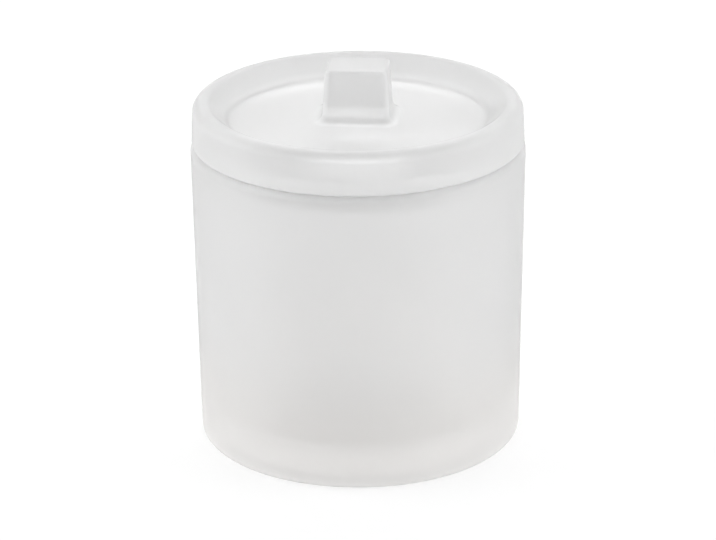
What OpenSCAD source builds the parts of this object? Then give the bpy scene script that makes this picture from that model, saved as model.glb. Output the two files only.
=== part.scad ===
// Cosmetic jar in satin-frosted pressed glass, with a lift-off lid.
// Millimetres, +Z up, origin at the centre of the face that it stands on.
// The lid's grip is widest along X and points its broad face along -Y.

/* [Jar] */
// Outside diameter at the lip, where the jar is widest
jar_d = 90; // [80:1:120]
// How much the wall draws in from the lip to the foot, all round
wall_draft = 1.2; // [0:0.1:4]
// Height from the table to the lip, where the lid rests
jar_h = 83; // [50:1:140]
// Thickness of the solid glass floor, from the table up
floor_t = 9; // [5:0.5:16]
// Wall thickness at the lip
lip_wall = 4.5; // [3.5:0.1:6]
// Wall thickness near the floor
low_wall = 5.2; // [3.5:0.1:8]
// Rounding of the lip's outer edge
lip_r = 2.2; // [0.5:0.1:2.4]
// Rounding of the lip's inner edge
mouth_r = 0.8; // [0.2:0.1:1]
// Rounding of the heel, where the wall meets the foot
heel_r = 2; // [0.5:0.1:4]
// Rounding between the wall and the floor, inside
cavity_r = 3.5; // [2:0.5:14]

/* [Underside] */
// Width of the ring that the jar stands on
stand_w = 10.8; // [6:0.1:16]
// Height of the hollow inside that ring
punt_h = 1.4; // [0.4:0.1:2.5]
// How far the hollow's sloping edge runs inwards
punt_slope = 7; // [3:0.5:12]
// Rounding where that slope meets the standing ring
punt_edge_r = 2; // [0.5:0.5:6]
// Rounding where that slope meets the hollow's flat
punt_root_r = 8; // [1:0.5:12]

/* [Lid] */
// How much narrower the lid's lower edge is than the lip, all round
lid_inset = 0.35; // [0.2:0.05:1.5]
// How much the lid's side leans in from its lower edge to its crest
lid_lean = 0.45; // [0:0.05:1.5]
// Height of the lid's crest over the lip
lid_h = 11.5; // [9:0.1:18]
// Rounding of the lid's lower edge, which makes the seam a groove
lid_low_r = 0.9; // [0.5:0.1:2.2]
// Rounding of the crest's outer edge
crest_r = 3; // [0.5:0.1:3.2]
// Width of the crest, from the side to where the dish begins
crest_w = 4; // [3.8:0.1:6]
// Rounding of the crest's inner edge
crest_in_r = 2.4; // [1:0.1:3]
// Depth of the dish under the crest
dish_depth = 4.5; // [2:0.1:6]
// How far the dish's slope runs inwards
dish_slope = 5.6; // [5:0.1:12]
// Rounding where that slope meets the dish's flat
dish_r = 5; // [1:0.5:8]
// Glass left between the dish and the lid's underside
plate_t = 5.8; // [3.5:0.1:6.8]

/* [Locating ring] */
// Gap all round between the ring and the jar's mouth
ring_gap = 0.8; // [0.3:0.1:1.5]
// How deep the ring reaches into the jar
ring_h = 5.5; // [3:0.1:10]
// Width of the ring at its end
ring_w = 3.2; // [2.4:0.1:6]
// Draft of the ring's inner face over its height
ring_draft = 0.4; // [0:0.1:1]
// Rounding of the ring's end
ring_r = 1; // [0.3:0.1:1.1]
// Rounding between the ring and the plate, inside
ring_root_r = 1.6; // [0.4:0.1:2]
// Rounding between the ring and the seat, outside
seat_root_r = 0.4; // [0.1:0.1:0.6]

/* [Grip] */
// Width of the grip at its top, along X
grip_w = 16.4; // [10:0.1:26]
// Depth of the grip at its top, along Y
grip_d = 13.4; // [8:0.1:22]
// Height of the grip over the dish
grip_h = 14.3; // [8:0.1:24]
// Lean of the grip's sides, in degrees
grip_lean = 3.5; // [0:0.5:10]
// Rounding of the grip's upright edges
grip_corner_r = 1.7; // [1.2:0.1:4]
// Rounding of the grip's top edges
grip_top_r = 0.9; // [0.3:0.1:1.1]
// Rounding where the grip flares into the dish
grip_foot_r = 2.6; // [1:0.1:5]

/* [Hidden] */
$fn = 96;

// Degrees of turn for each straight step of a rounding
arc_step = 10;
// Steps along each rounding of the grip
grip_steps = 7;
// Where the grip's flare stops short of lying flat, in degrees
flare_end = 78;
// How far the grip's root is sunk in the plate
grip_sink = 1.5;

jar_r = jar_d / 2;
foot_r = jar_r - wall_draft;
punt_r = foot_r - stand_w;
mouth_wall_r = jar_r - lip_wall;
cavity_low_r = foot_r + wall_draft * floor_t / jar_h - low_wall;

lid_low_wall_r = jar_r - lid_inset;
lid_top_wall_r = lid_low_wall_r - lid_lean;
crest_z = jar_h + lid_h;
dish_z = crest_z - dish_depth;
under_z = dish_z - plate_t;
crest_end_r = lid_top_wall_r - crest_w;
dish_flat_r = crest_end_r - dish_slope;
ring_out_r = mouth_wall_r - ring_gap;
ring_in_r = ring_out_r - ring_w;
ring_z = jar_h - ring_h;

glass = [0.86, 0.87, 0.87];
lid_glass = [0.91, 0.91, 0.91];

function unit(v) = v / norm(v);

// Signed angle from direction a to direction b, anticlockwise
function turn(a, b) = atan2(a[0] * b[1] - a[1] * b[0], a[0] * b[0] + a[1] * b[1]);

// The points that round corner p, between its neighbours, with an arc tangent to both sides
function rounded_corner(before, p, after) =
    let (
        along = unit([p[0] - before[0], p[1] - before[1]]),
        ahead = unit([after[0] - p[0], after[1] - p[1]]),
        angle = turn(along, ahead),
        side = sign(angle),
        reach = p[2] * abs(tan(angle / 2)),
        start = [p[0], p[1]] - along * reach,
        centre = start + side * p[2] * [-along[1], along[0]],
        spoke = start - centre,
        steps = max(1, ceil(abs(angle) / arc_step))
    )
    [
        for (i = [0 : steps])
            let (a = angle * i / steps)
            centre + [
                spoke[0] * cos(a) - spoke[1] * sin(a),
                spoke[0] * sin(a) + spoke[1] * cos(a)
            ]
    ];

// An outline from corners [r, z, rounding]; a corner without a rounding stays sharp
function rounded_outline(corners) =
    let (n = len(corners))
    [
        for (i = [0 : n - 1])
            let (p = corners[i])
            each p[2] > 0
                ? rounded_corner(corners[(i + n - 1) % n], p, corners[(i + 1) % n])
                : [[p[0], p[1]]]
    ];

// Half section of the jar: foot, outer wall, lip, cavity and back to the axis
jar_section = rounded_outline([
    [0, punt_h, 0],
    [punt_r - punt_slope, punt_h, punt_root_r],
    [punt_r, 0, punt_edge_r],
    [foot_r, 0, heel_r],
    [jar_r, jar_h, lip_r],
    [mouth_wall_r, jar_h, mouth_r],
    [cavity_low_r, floor_t, cavity_r],
    [0, floor_t, 0]
]);

// Half section of the lid: underside, locating ring, seat, side, crest and dish
lid_section = rounded_outline([
    [0, under_z, 0],
    [ring_in_r - ring_draft, under_z, ring_root_r],
    [ring_in_r, ring_z, ring_r],
    [ring_out_r, ring_z, ring_r],
    [ring_out_r, jar_h, seat_root_r],
    [lid_low_wall_r, jar_h, lid_low_r],
    [lid_top_wall_r, crest_z, crest_r],
    [crest_end_r, crest_z, crest_in_r],
    [dish_flat_r, dish_z, dish_r],
    [0, dish_z, 0]
]);

// One level of the grip: a rectangle with round corners, grown by the given amount
function grip_ring(z, grow) =
    let (
        lean = (dish_z + grip_h - z) * tan(grip_lean),
        corner = grip_corner_r + grow,
        x = grip_w / 2 + lean + grow - corner,
        y = grip_d / 2 + lean + grow - corner
    )
    [
        for (quarter = [0 : 3], i = [0 : grip_steps])
            let (
                a = quarter * 90 + i * 90 / grip_steps,
                sx = quarter == 0 || quarter == 3 ? 1 : -1,
                sy = quarter < 2 ? 1 : -1
            )
            [sx * x + corner * cos(a), sy * y + corner * sin(a), z]
    ];

// The grip's levels from its sunk root, up the flare and the sides, and over the top edge
grip_levels = concat(
    [[dish_z - grip_sink, grip_foot_r * (1 - cos(flare_end))]],
    [
        for (i = [0 : grip_steps])
            let (a = flare_end * (1 - i / grip_steps))
            [dish_z + grip_foot_r * (1 - sin(a)), grip_foot_r * (1 - cos(a))]
    ],
    [
        for (i = [0 : grip_steps])
            let (a = 90 * i / grip_steps)
            [dish_z + grip_h - grip_top_r * (1 - sin(a)), -grip_top_r * (1 - cos(a))]
    ]
);

module grip() {
    around = 4 * (grip_steps + 1);
    levels = len(grip_levels);
    points = [for (level = grip_levels) each grip_ring(level[0], level[1])];
    walls = [
        for (j = [0 : levels - 2], i = [0 : around - 1])
            let (
                a = j * around + i,
                b = j * around + (i + 1) % around
            )
            each [[a, b + around, b], [a, a + around, b + around]]
    ];
    root = [for (i = [0 : around - 1]) i];
    top = [for (i = [around - 1 : -1 : 0]) (levels - 1) * around + i];
    polyhedron(points, concat(walls, [root, top]));
}

module jar() {
    color(glass) rotate_extrude() polygon(jar_section);
}

module lid() {
    color(lid_glass) union() {
        rotate_extrude() polygon(lid_section);
        grip();
    }
}

jar();
lid();
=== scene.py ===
"""Cosmetic jar with a lift-off lid, both in satin-frosted pressed glass, on a plain white studio floor."""

from math import radians

import bpy
import numpy as np
from mathutils import Matrix, Vector

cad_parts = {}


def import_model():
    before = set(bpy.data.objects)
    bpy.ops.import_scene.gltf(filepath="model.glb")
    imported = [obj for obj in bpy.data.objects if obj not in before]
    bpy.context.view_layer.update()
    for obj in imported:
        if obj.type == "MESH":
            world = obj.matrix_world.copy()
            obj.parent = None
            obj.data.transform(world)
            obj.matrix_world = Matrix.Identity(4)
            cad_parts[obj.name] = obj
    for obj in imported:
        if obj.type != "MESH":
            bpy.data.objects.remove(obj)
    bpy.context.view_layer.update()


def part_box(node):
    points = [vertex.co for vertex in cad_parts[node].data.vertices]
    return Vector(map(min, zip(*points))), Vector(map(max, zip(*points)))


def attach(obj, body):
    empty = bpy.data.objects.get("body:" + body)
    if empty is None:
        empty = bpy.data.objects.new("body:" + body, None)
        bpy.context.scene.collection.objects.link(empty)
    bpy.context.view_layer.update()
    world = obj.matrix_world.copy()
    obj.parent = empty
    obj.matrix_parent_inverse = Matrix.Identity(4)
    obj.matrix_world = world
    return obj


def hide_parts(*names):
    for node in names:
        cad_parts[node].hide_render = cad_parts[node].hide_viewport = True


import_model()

MM = 0.001
TURN = 2 * np.pi

# Sizes that the frame gives
JAR_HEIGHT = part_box("jar")[1].z
LID_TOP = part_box("lid")[1].z
LID_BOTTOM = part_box("lid")[0].z

# Sizes of the jar, in metres
LIP_RADIUS = 45 * MM
WALL_DRAFT = 1.2 * MM
FLOOR_THICKNESS = 9 * MM
LIP_WALL = 4.5 * MM
LOW_WALL = 5.2 * MM
STAND_WIDTH = 10.8 * MM
PUNT_HEIGHT = 1.4 * MM
PUNT_SLOPE = 7 * MM

# Roundings of the jar, in metres
PUNT_ROOT = 8 * MM
PUNT_EDGE = 2 * MM
HEEL = 2 * MM
LIP_EDGE = 2.2 * MM
MOUTH_EDGE = 0.8 * MM
CAVITY_ROOT = 3.5 * MM

# Sizes of the lid, in metres
LID_INSET = 0.35 * MM
LID_LEAN = 0.45 * MM
CREST_HEIGHT = 11.5 * MM
CREST_WIDTH = 4 * MM
DISH_DEPTH = 4.5 * MM
DISH_SLOPE = 5.6 * MM
PLATE_THICKNESS = 5.8 * MM
RING_GAP = 0.8 * MM
RING_WIDTH = 3.2 * MM
RING_DRAFT = 0.4 * MM

# Roundings of the lid, in metres
RING_ROOT = 1.6 * MM
RING_END = 1 * MM
SEAT_ROOT = 0.4 * MM
LID_LOW_EDGE = 0.9 * MM
CREST_EDGE = 3 * MM
CREST_INNER_EDGE = 2.4 * MM
DISH_ROOT = 5 * MM

# Sizes of the grip, in metres
GRIP_WIDTH = 16.4 * MM
GRIP_DEPTH = 13.4 * MM
GRIP_LEAN = radians(3.5)
GRIP_CORNER = 1.7 * MM
GRIP_TOP_EDGE = 0.9 * MM
GRIP_FOOT = 2.6 * MM

# A hair's breadth that keeps the lid's seat off the lip, so that light has air to cross between the two glasses
SEAT_AIR = 0.04 * MM

# Colours of the satin and the clear glass, each with a warmer tone at the jar's foot that is painted light from the
# ground; the satin's foot tone is lighter as well
SATIN_WHITE = (0.9, 0.9, 0.9)
SATIN_PAINTED_FOOT_LIGHT = (0.925, 0.91, 0.895)
CLEAR = (1, 1, 1)
CLEAR_PAINTED_FOOT_LIGHT = (1, 0.985, 0.97)

# Heights at which the foot's painted light is full and gone, in metres
PAINTED_FOOT_LIGHT_HEIGHTS = (0.004, 0.040)

# What the lamps face
JAR_MIDDLE = Vector((0, 0, 50 * MM))

# The ground's half width, and how far from the middle its painted shadow under the jar, as the glass sees it, starts
# to fade and ends, in metres
FLOOR_HALF = 4.0
PAINTED_SHADOW_EDGE = (0.034, 0.043)

# Fineness of the meshes
AROUND = 288
ARC_DEGREES = 6
LONGEST_STEP = 4 * MM
POLE_RADIUS = 1 * MM


def rounded_corner(before, corner, after, radius):
    """The arc of a circle of the given radius that is tangent to both sides of a corner, as points along it."""
    along = (corner - before) / np.linalg.norm(corner - before)
    ahead = (after - corner) / np.linalg.norm(after - corner)
    angle = np.arctan2(along[0] * ahead[1] - along[1] * ahead[0], along @ ahead)
    reach = radius * abs(np.tan(angle / 2))
    centre = corner - along * reach + np.sign(angle) * radius * np.array([-along[1], along[0]])
    start = corner - along * reach - centre
    steps = max(2, int(np.ceil(abs(np.degrees(angle)) / ARC_DEGREES)))
    a = np.linspace(0, angle, steps + 1)
    return centre + np.stack(
        [start[0] * np.cos(a) - start[1] * np.sin(a), start[0] * np.sin(a) + start[1] * np.cos(a)], axis=1
    )


def rounded_section(corners):
    """A half section from corners (radius, height, rounding): each rounding is a tangent arc, and none stays sharp."""
    points = np.array([c[:2] for c in corners], float)
    pieces = [points[:1]]
    for i in range(1, len(corners) - 1):
        if corners[i][2]:
            pieces.append(rounded_corner(points[i - 1], points[i], points[i + 1], corners[i][2]))
        else:
            pieces.append(points[i : i + 1])
    pieces.append(points[-1:])
    return np.concatenate(pieces)


def densify(section, longest):
    """The same section with every long straight stretch cut into equal steps no longer than the given length."""
    pieces = []
    for a, b in zip(section[:-1], section[1:]):
        steps = max(1, int(np.ceil(np.linalg.norm(b - a) / longest)))
        pieces.append(a + (b - a) * np.linspace(0, 1, steps, endpoint=False)[:, None])
    pieces.append(section[-1:])
    return np.concatenate(pieces)


def closed_surface(name, rings, inner):
    """A closed mesh over a grid of rings (level, around, xyz), with a pole in the middle of the first and last ring.

    inner says of each band between two rings whether it has the second material, that of the inner faces.
    """
    levels, around, _ = rings.shape
    poles = np.stack([rings[0].mean(axis=0), rings[-1].mean(axis=0)])
    vertices = np.concatenate([rings.reshape(-1, 3), poles])
    j, i = np.meshgrid(np.arange(levels - 1), np.arange(around), indexing="ij")
    here, ahead = j * around + i, j * around + (i + 1) % around
    quads = np.stack([here, ahead, ahead + around, here + around], axis=-1).reshape(-1, 4)
    k = np.arange(around)
    first, last = levels * around, levels * around + 1
    top = (levels - 1) * around
    fans = np.concatenate([
        np.stack([np.full(around, first), (k + 1) % around, k], axis=1),
        np.stack([np.full(around, last), top + k, top + (k + 1) % around], axis=1),
    ])
    mesh = bpy.data.meshes.new(name)
    mesh.vertices.add(len(vertices))
    mesh.vertices.foreach_set("co", vertices.ravel())
    corners = np.concatenate([quads.ravel(), fans.ravel()])
    sizes = np.concatenate([np.full(len(quads), 4), np.full(len(fans), 3)])
    mesh.loops.add(len(corners))
    mesh.loops.foreach_set("vertex_index", corners)
    mesh.polygons.add(len(sizes))
    mesh.polygons.foreach_set("loop_start", np.concatenate([[0], np.cumsum(sizes)[:-1]]))
    bands = np.concatenate([np.repeat(inner, around), np.repeat([inner[0], inner[-1]], around)])
    mesh.polygons.foreach_set("material_index", bands.astype(int))
    mesh.update(calc_edges=True)
    mesh.validate()
    mesh.polygons.foreach_set("use_smooth", np.ones(len(mesh.polygons), bool))
    piece = bpy.data.objects.new(name, mesh)
    bpy.context.scene.collection.objects.link(piece)
    return piece


def rounded_squares(levels):
    """Rings of points, one per level (half straight width, half straight depth, corner radius, height).

    Each ring is four quarter circles of the corner radius, pushed apart by the straight halves, so that a level with
    no straight parts is a plain circle.
    """
    quarter = AROUND // 4
    turn = ((np.arange(quarter) + 0.5) / quarter * 90 + np.array([0, 90, 180, 270])[:, None]).ravel()
    side_x = np.repeat([1, -1, -1, 1], quarter)
    side_y = np.repeat([1, 1, -1, -1], quarter)
    straight_x, straight_y, corner, height = (levels[:, [c]] for c in range(4))
    x = side_x * straight_x + corner * np.cos(np.radians(turn))
    y = side_y * straight_y + corner * np.sin(np.radians(turn))
    return np.stack([x, y, np.broadcast_to(height, x.shape)], axis=-1)


def revolved(section):
    """Circles about Z, one for each (radius, height) of the section."""
    turn = np.arange(AROUND) / AROUND * TURN
    radius, height = section[:, :1], section[:, 1:]
    x, y = radius * np.cos(turn), radius * np.sin(turn)
    return np.stack([x, y, np.broadcast_to(height, x.shape)], axis=-1)


def jar_surface():
    """The jar: its half section (standing ring, wall, lip, cavity) turned about Z."""
    foot = LIP_RADIUS - WALL_DRAFT
    punt = foot - STAND_WIDTH
    mouth = LIP_RADIUS - LIP_WALL
    cavity_low = foot + WALL_DRAFT * FLOOR_THICKNESS / JAR_HEIGHT - LOW_WALL
    section = rounded_section([
        (POLE_RADIUS, PUNT_HEIGHT, 0),
        (punt - PUNT_SLOPE, PUNT_HEIGHT, PUNT_ROOT),
        (punt, 0, PUNT_EDGE),
        (foot, 0, HEEL),
        (LIP_RADIUS, JAR_HEIGHT, LIP_EDGE),
        (mouth, JAR_HEIGHT, MOUTH_EDGE),
        (cavity_low, FLOOR_THICKNESS, CAVITY_ROOT),
        (POLE_RADIUS, FLOOR_THICKNESS, 0),
    ])
    section = densify(section, LONGEST_STEP)
    band = np.arange(len(section) - 1)
    heel_start = np.argmax(section[:, 0] > foot - HEEL - 0.1 * MM)
    lip_top = np.argmax(section[:, 1])
    inner = (band < heel_start) | (band > lip_top)
    return closed_surface("jar_glass", revolved(section), inner)


def lid_surface():
    """The lid and its grip as one skin, from the underside's middle, round the ring and the side, to the grip's top.

    Up to the dish, each level is a circle. From the dish inwards the circle turns evenly into the rounded square of
    the grip's foot, whose flare is a quarter circle, and then follows the leaning sides and the top edge's rounding.
    """
    seat = JAR_HEIGHT + SEAT_AIR
    crest = JAR_HEIGHT + CREST_HEIGHT
    dish = crest - DISH_DEPTH
    under = dish - PLATE_THICKNESS
    side_low = LIP_RADIUS - LID_INSET
    side_top = side_low - LID_LEAN
    crest_end = side_top - CREST_WIDTH
    dish_flat = crest_end - DISH_SLOPE
    ring_out = LIP_RADIUS - LIP_WALL - RING_GAP
    ring_in = ring_out - RING_WIDTH
    section = densify(rounded_section([
        (POLE_RADIUS, under, 0),
        (ring_in - RING_DRAFT, under, RING_ROOT),
        (ring_in, LID_BOTTOM, RING_END),
        (ring_out, LID_BOTTOM, RING_END),
        (ring_out, seat, SEAT_ROOT),
        (side_low, seat, LID_LOW_EDGE),
        (side_top, crest, CREST_EDGE),
        (crest_end, crest, CREST_INNER_EDGE),
        (dish_flat, dish, DISH_ROOT),
        (dish_flat - 3 * MM, dish, 0),
    ]), LONGEST_STEP)
    no_straight = np.zeros(len(section))
    round_levels = np.stack([no_straight, no_straight, section[:, 0], section[:, 1]], axis=1)

    def grip_levels(height, grow):
        """Levels of the grip at these heights, its plan grown by the given amounts beyond the leaning sides."""
        lean = (LID_TOP - height) * np.tan(GRIP_LEAN)
        corner = GRIP_CORNER + grow
        half_x = GRIP_WIDTH / 2 + lean + grow - corner
        half_y = GRIP_DEPTH / 2 + lean + grow - corner
        return np.stack([half_x, half_y, corner, height], axis=1)

    a = np.radians(np.linspace(90, 0, 16))
    flare = grip_levels(dish + GRIP_FOOT * (1 - np.sin(a)), GRIP_FOOT * (1 - np.cos(a)))
    side_heights = np.linspace(dish + GRIP_FOOT, LID_TOP - GRIP_TOP_EDGE, 10)[1:-1]
    sides = grip_levels(side_heights, 0 * side_heights)
    a = np.radians(np.linspace(0, 90, 10))
    edge = grip_levels(LID_TOP - GRIP_TOP_EDGE * (1 - np.sin(a)), -GRIP_TOP_EDGE * (1 - np.cos(a)))
    top = edge[-1] * np.array([[0.6, 0.6, 0.6, 1], [0.15, 0.15, 0.15, 1]])
    spread = np.linspace(0, 1, 8)[1:-1, None]
    plate = round_levels[-1] * (1 - spread) + flare[0] * spread
    levels = np.concatenate([round_levels, plate, flare, sides, edge, top])
    ring_start = np.argmax(section[:, 1] < under - 2 * MM)
    inner = np.arange(len(levels) - 1) < ring_start
    return closed_surface("lid_glass", rounded_squares(levels), inner)


def smooth_step(nodes, link, share, start, end, low, high):
    """Goes smoothly from low to high while the socket share goes from start to end."""
    ramp = nodes.new("ShaderNodeMapRange")
    ramp.interpolation_type = "SMOOTHSTEP"
    for name, value in (("From Min", start), ("From Max", end), ("To Min", low), ("To Max", high)):
        ramp.inputs[name].default_value = value
    link(share, ramp.inputs["Value"])
    return ramp.outputs[0]


def etched_skin():
    """Node group for acid-etched glass: a fine even grain, a faint slow waviness, and painted light from the ground
    that makes the colour lighter and warmer towards the foot.

    The waviness also mottles the roughness and the colour a little, as an acid bath does.
    """
    group = bpy.data.node_groups.new("etched_skin", "ShaderNodeTree")
    for name, value in (("Grain", 0.05), ("Waviness", 0.02), ("Roughness", 0.5), ("Mottle", 0.03)):
        socket = group.interface.new_socket(name=name, in_out="INPUT", socket_type="NodeSocketFloat")
        socket.default_value = value
    for name, value in (("Colour", (0.9, 0.9, 0.9, 1)), ("Painted Foot Light", (0.9, 0.88, 0.86, 1))):
        socket = group.interface.new_socket(name=name, in_out="INPUT", socket_type="NodeSocketColor")
        socket.default_value = value
    group.interface.new_socket(name="Colour", in_out="OUTPUT", socket_type="NodeSocketColor")
    group.interface.new_socket(name="Normal", in_out="OUTPUT", socket_type="NodeSocketVector")
    group.interface.new_socket(name="Roughness", in_out="OUTPUT", socket_type="NodeSocketFloat")
    nodes, link = group.nodes, group.links.new
    inputs = nodes.new("NodeGroupInput")
    outputs = nodes.new("NodeGroupOutput")
    place = nodes.new("ShaderNodeTexCoord")

    grain = nodes.new("ShaderNodeTexNoise")
    grain.inputs["Scale"].default_value = 2600
    grain.inputs["Detail"].default_value = 2
    link(place.outputs["Object"], grain.inputs["Vector"])
    wave = nodes.new("ShaderNodeTexNoise")
    wave.inputs["Scale"].default_value = 55
    wave.inputs["Detail"].default_value = 1
    link(place.outputs["Object"], wave.inputs["Vector"])

    slow = nodes.new("ShaderNodeBump")
    slow.inputs["Distance"].default_value = 0.001
    link(inputs.outputs["Waviness"], slow.inputs["Strength"])
    link(wave.outputs["Fac"], slow.inputs["Height"])
    fine = nodes.new("ShaderNodeBump")
    fine.inputs["Distance"].default_value = 0.0001
    link(inputs.outputs["Grain"], fine.inputs["Strength"])
    link(grain.outputs["Fac"], fine.inputs["Height"])
    link(slow.outputs["Normal"], fine.inputs["Normal"])
    link(fine.outputs["Normal"], outputs.inputs["Normal"])

    centred = nodes.new("ShaderNodeMath")
    centred.operation = "SUBTRACT"
    centred.inputs[1].default_value = 0.5
    link(wave.outputs["Fac"], centred.inputs[0])
    rough = nodes.new("ShaderNodeMath")
    rough.operation = "MULTIPLY_ADD"
    link(centred.outputs[0], rough.inputs[0])
    link(inputs.outputs["Mottle"], rough.inputs[1])
    link(inputs.outputs["Roughness"], rough.inputs[2])
    link(rough.outputs[0], outputs.inputs["Roughness"])

    # Painted light: near the bottom the colour turns to the foot colour, standing in for light from the ground
    parts = nodes.new("ShaderNodeSeparateXYZ")
    link(place.outputs["Object"], parts.inputs[0])
    foot_light_share = smooth_step(nodes, link, parts.outputs["Z"], *PAINTED_FOOT_LIGHT_HEIGHTS, 1, 0)
    tone = nodes.new("ShaderNodeMix")
    tone.data_type = "RGBA"
    link(foot_light_share, tone.inputs["Factor"])
    link(inputs.outputs["Colour"], tone.inputs["A"])
    link(inputs.outputs["Painted Foot Light"], tone.inputs["B"])
    light_or_dark = nodes.new("ShaderNodeMath")
    light_or_dark.operation = "MULTIPLY_ADD"
    link(centred.outputs[0], light_or_dark.inputs[0])
    link(inputs.outputs["Mottle"], light_or_dark.inputs[1])
    light_or_dark.inputs[2].default_value = 1
    mottled = nodes.new("ShaderNodeVectorMath")
    mottled.operation = "SCALE"
    link(tone.outputs["Result"], mottled.inputs[0])
    link(light_or_dark.outputs[0], mottled.inputs["Scale"])
    link(mottled.outputs[0], outputs.inputs["Colour"])
    return group


def frosted_glass(name, skin, colour, painted_foot_light, transmission, roughness):
    """Satin-frosted glass: a rough Principled glass that keeps a share of milky white scatter."""
    material = bpy.data.materials.new(name)
    material.use_nodes = True
    nodes, link = material.node_tree.nodes, material.node_tree.links.new
    shader = nodes["Principled BSDF"]
    shader.inputs["Transmission Weight"].default_value = transmission
    shader.inputs["IOR"].default_value = 1.5
    etched = nodes.new("ShaderNodeGroup")
    etched.node_tree = skin
    etched.inputs["Roughness"].default_value = roughness
    etched.inputs["Colour"].default_value = (*colour, 1)
    # The foot colour is painted warm light from the ground
    etched.inputs["Painted Foot Light"].default_value = (*painted_foot_light, 1)
    link(etched.outputs["Colour"], shader.inputs["Base Color"])
    link(etched.outputs["Normal"], shader.inputs["Normal"])
    link(etched.outputs["Roughness"], shader.inputs["Roughness"])
    return material


def through_glass(nodes, link):
    """A socket that is 1 for a ray last reflected or refracted by glass and 0 for any other, and its Light Path."""
    path = nodes.new("ShaderNodeLightPath")
    either = nodes.new("ShaderNodeMath")
    either.operation = "MAXIMUM"
    link(path.outputs["Is Glossy Ray"], either.inputs[0])
    link(path.outputs["Is Transmission Ray"], either.inputs[1])
    return either.outputs[0], path


def studio_white(name, colour, round_glow, under_glow, camera_colour, camera_glow):
    """A white ground: matt for light that reaches the object, and near full white to the camera, with the shadow kept.

    What the glass shows of it is an even glow, white round the jar and dimmer under it, a painted shadow.
    """
    material = bpy.data.materials.new(name)
    material.use_nodes = True
    nodes, link = material.node_tree.nodes, material.node_tree.links.new
    nodes.clear()

    def matt(tone):
        """A matt surface of one tone."""
        surface = nodes.new("ShaderNodeBsdfDiffuse")
        surface.inputs["Color"].default_value = (*tone, 1)
        return surface

    def choose(share, without, chosen):
        """The chosen shader where share is 1, and the other where it is 0."""
        mix = nodes.new("ShaderNodeMixShader")
        link(share, mix.inputs[0])
        link(without.outputs[0], mix.inputs[1])
        link(chosen.outputs[0], mix.inputs[2])
        return mix

    place = nodes.new("ShaderNodeTexCoord")
    flat = nodes.new("ShaderNodeVectorMath")
    flat.operation = "MULTIPLY"
    flat.inputs[1].default_value = (1, 1, 0)
    link(place.outputs["Object"], flat.inputs[0])
    distance = nodes.new("ShaderNodeVectorMath")
    distance.operation = "LENGTH"
    link(flat.outputs[0], distance.inputs[0])
    # Painted shadow: the glow that the glass sees dims towards the jar's middle
    in_glass = nodes.new("ShaderNodeEmission")
    shade = smooth_step(nodes, link, distance.outputs["Value"], *PAINTED_SHADOW_EDGE, under_glow, round_glow)
    link(shade, in_glass.inputs["Strength"])

    to_camera = nodes.new("ShaderNodeAddShader")
    glow = nodes.new("ShaderNodeEmission")
    glow.inputs["Strength"].default_value = camera_glow
    link(matt(camera_colour).outputs[0], to_camera.inputs[0])
    link(glow.outputs[0], to_camera.inputs[1])

    by_glass, path = through_glass(nodes, link)
    unseen = choose(by_glass, matt(colour), in_glass)
    result = choose(path.outputs["Is Camera Ray"], unseen, to_camera)
    output = nodes.new("ShaderNodeOutputMaterial")
    link(result.outputs[0], output.inputs["Surface"])
    return material


def floor():
    """A flat ground, wide enough to fill the view from any side."""
    half = FLOOR_HALF
    mesh = bpy.data.meshes.new("floor")
    mesh.from_pydata([(-half, -half, 0), (half, -half, 0), (half, half, 0), (-half, half, 0)], [], [(0, 1, 2, 3)])
    mesh.materials.append(studio_white(
        "floor_white",
        colour=(0.85, 0.85, 0.85),
        round_glow=1.0,
        under_glow=0.52,
        camera_colour=(0.3, 0.3, 0.3),
        camera_glow=0.72,
    ))
    ground = bpy.data.objects.new("floor", mesh)
    bpy.context.scene.collection.objects.link(ground)


def softbox(name, place, size, power):
    """A square area lamp at a place, turned to face the jar's middle."""
    lamp = bpy.data.lights.new(name, "AREA")
    lamp.shape = "SQUARE"
    lamp.size = size
    lamp.energy = power
    holder = bpy.data.objects.new(name, lamp)
    holder.location = place
    holder.rotation_euler = (JAR_MIDDLE - Vector(place)).to_track_quat("-Z", "Y").to_euler()
    bpy.context.scene.collection.objects.link(holder)


def world(shown, fill):
    """The room: an even white that the glass shows at one strength, and that fills matt surfaces at another.

    The camera itself sees only the floor.
    """
    surroundings = bpy.data.worlds.new("studio")
    surroundings.use_nodes = True
    nodes, link = surroundings.node_tree.nodes, surroundings.node_tree.links.new
    background = nodes["Background"]
    background.inputs["Color"].default_value = (1, 1, 1, 1)
    by_glass, _ = through_glass(nodes, link)
    link(smooth_step(nodes, link, by_glass, 0, 1, fill, shown), background.inputs["Strength"])
    bpy.context.scene.world = surroundings


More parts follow.
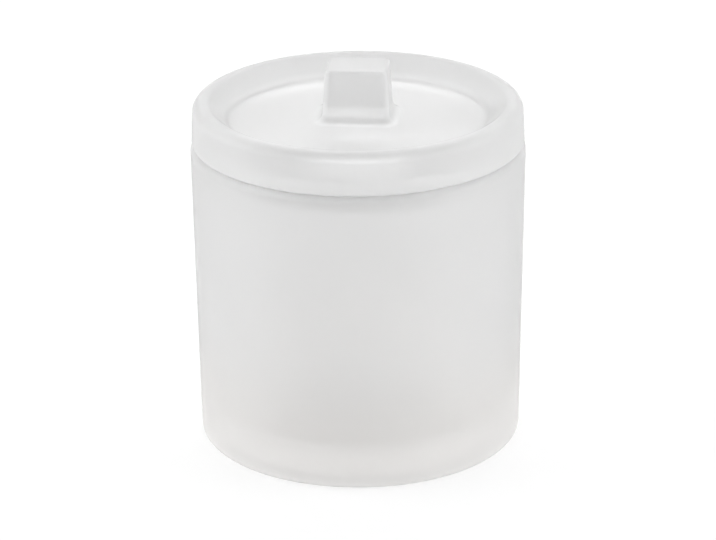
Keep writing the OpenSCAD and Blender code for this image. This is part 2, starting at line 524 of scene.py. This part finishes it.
def camera():
    """The photograph's view: a long lens a little above the jar, fitted to the outline."""
    pixels_wide, focal_pixels = 716, 3194.4
    distance, height = 0.8089, 0.3687
    azimuth, pitch, roll, yaw = radians(5), 0.3803, -0.0089, 0.0004
    lens = bpy.data.cameras.new("camera")
    lens.sensor_width = 36
    lens.lens = focal_pixels / pixels_wide * lens.sensor_width
    lens.clip_start, lens.clip_end = 0.01, 50
    holder = bpy.data.objects.new("camera", lens)
    around = Matrix.Rotation(azimuth, 4, "Z") @ Matrix.Translation((0, -distance, height))
    tilt = Matrix.Rotation(radians(90) - pitch, 4, "X") @ Matrix.Rotation(roll, 4, "Z")
    holder.matrix_world = around @ Matrix.Rotation(yaw, 4, "Z") @ tilt
    bpy.context.scene.collection.objects.link(holder)
    bpy.context.scene.camera = holder


skin = etched_skin()
jar = jar_surface()
jar.data.materials.append(
    frosted_glass("jar_frost", skin, SATIN_WHITE, SATIN_PAINTED_FOOT_LIGHT, transmission=0.6, roughness=0.62)
)
jar.data.materials.append(
    frosted_glass("jar_inside", skin, CLEAR, CLEAR_PAINTED_FOOT_LIGHT, transmission=1.0, roughness=0.08)
)
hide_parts("jar")
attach(jar, "jar")

lid = lid_surface()
lid.data.materials.append(
    frosted_glass("lid_frost", skin, SATIN_WHITE, SATIN_WHITE, transmission=0.6, roughness=0.5)
)
lid.data.materials.append(
    frosted_glass("lid_inside", skin, CLEAR, CLEAR, transmission=1.0, roughness=0.15)
)
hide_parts("lid")
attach(lid, "lid")

floor()
world(shown=1.0, fill=0.48)
softbox("back_light", (0, 0.9, 1.0), size=1.2, power=6.6)
softbox("left_light", (-1.2, 0, 0.5), size=0.9, power=9.6)
softbox("right_light", (1.2, 0, 0.5), size=0.9, power=8.6)
softbox("front_light", (0, -1.6, 0.45), size=1.2, power=5.7)
camera()

bpy.context.scene.view_settings.view_transform = "Standard"

# Light is followed through the many faces of the thick glass, inside it too
paths = bpy.context.scene.cycles
paths.max_bounces = 24
paths.glossy_bounces = 12
paths.transmission_bounces = 24
paths.diffuse_bounces = 6
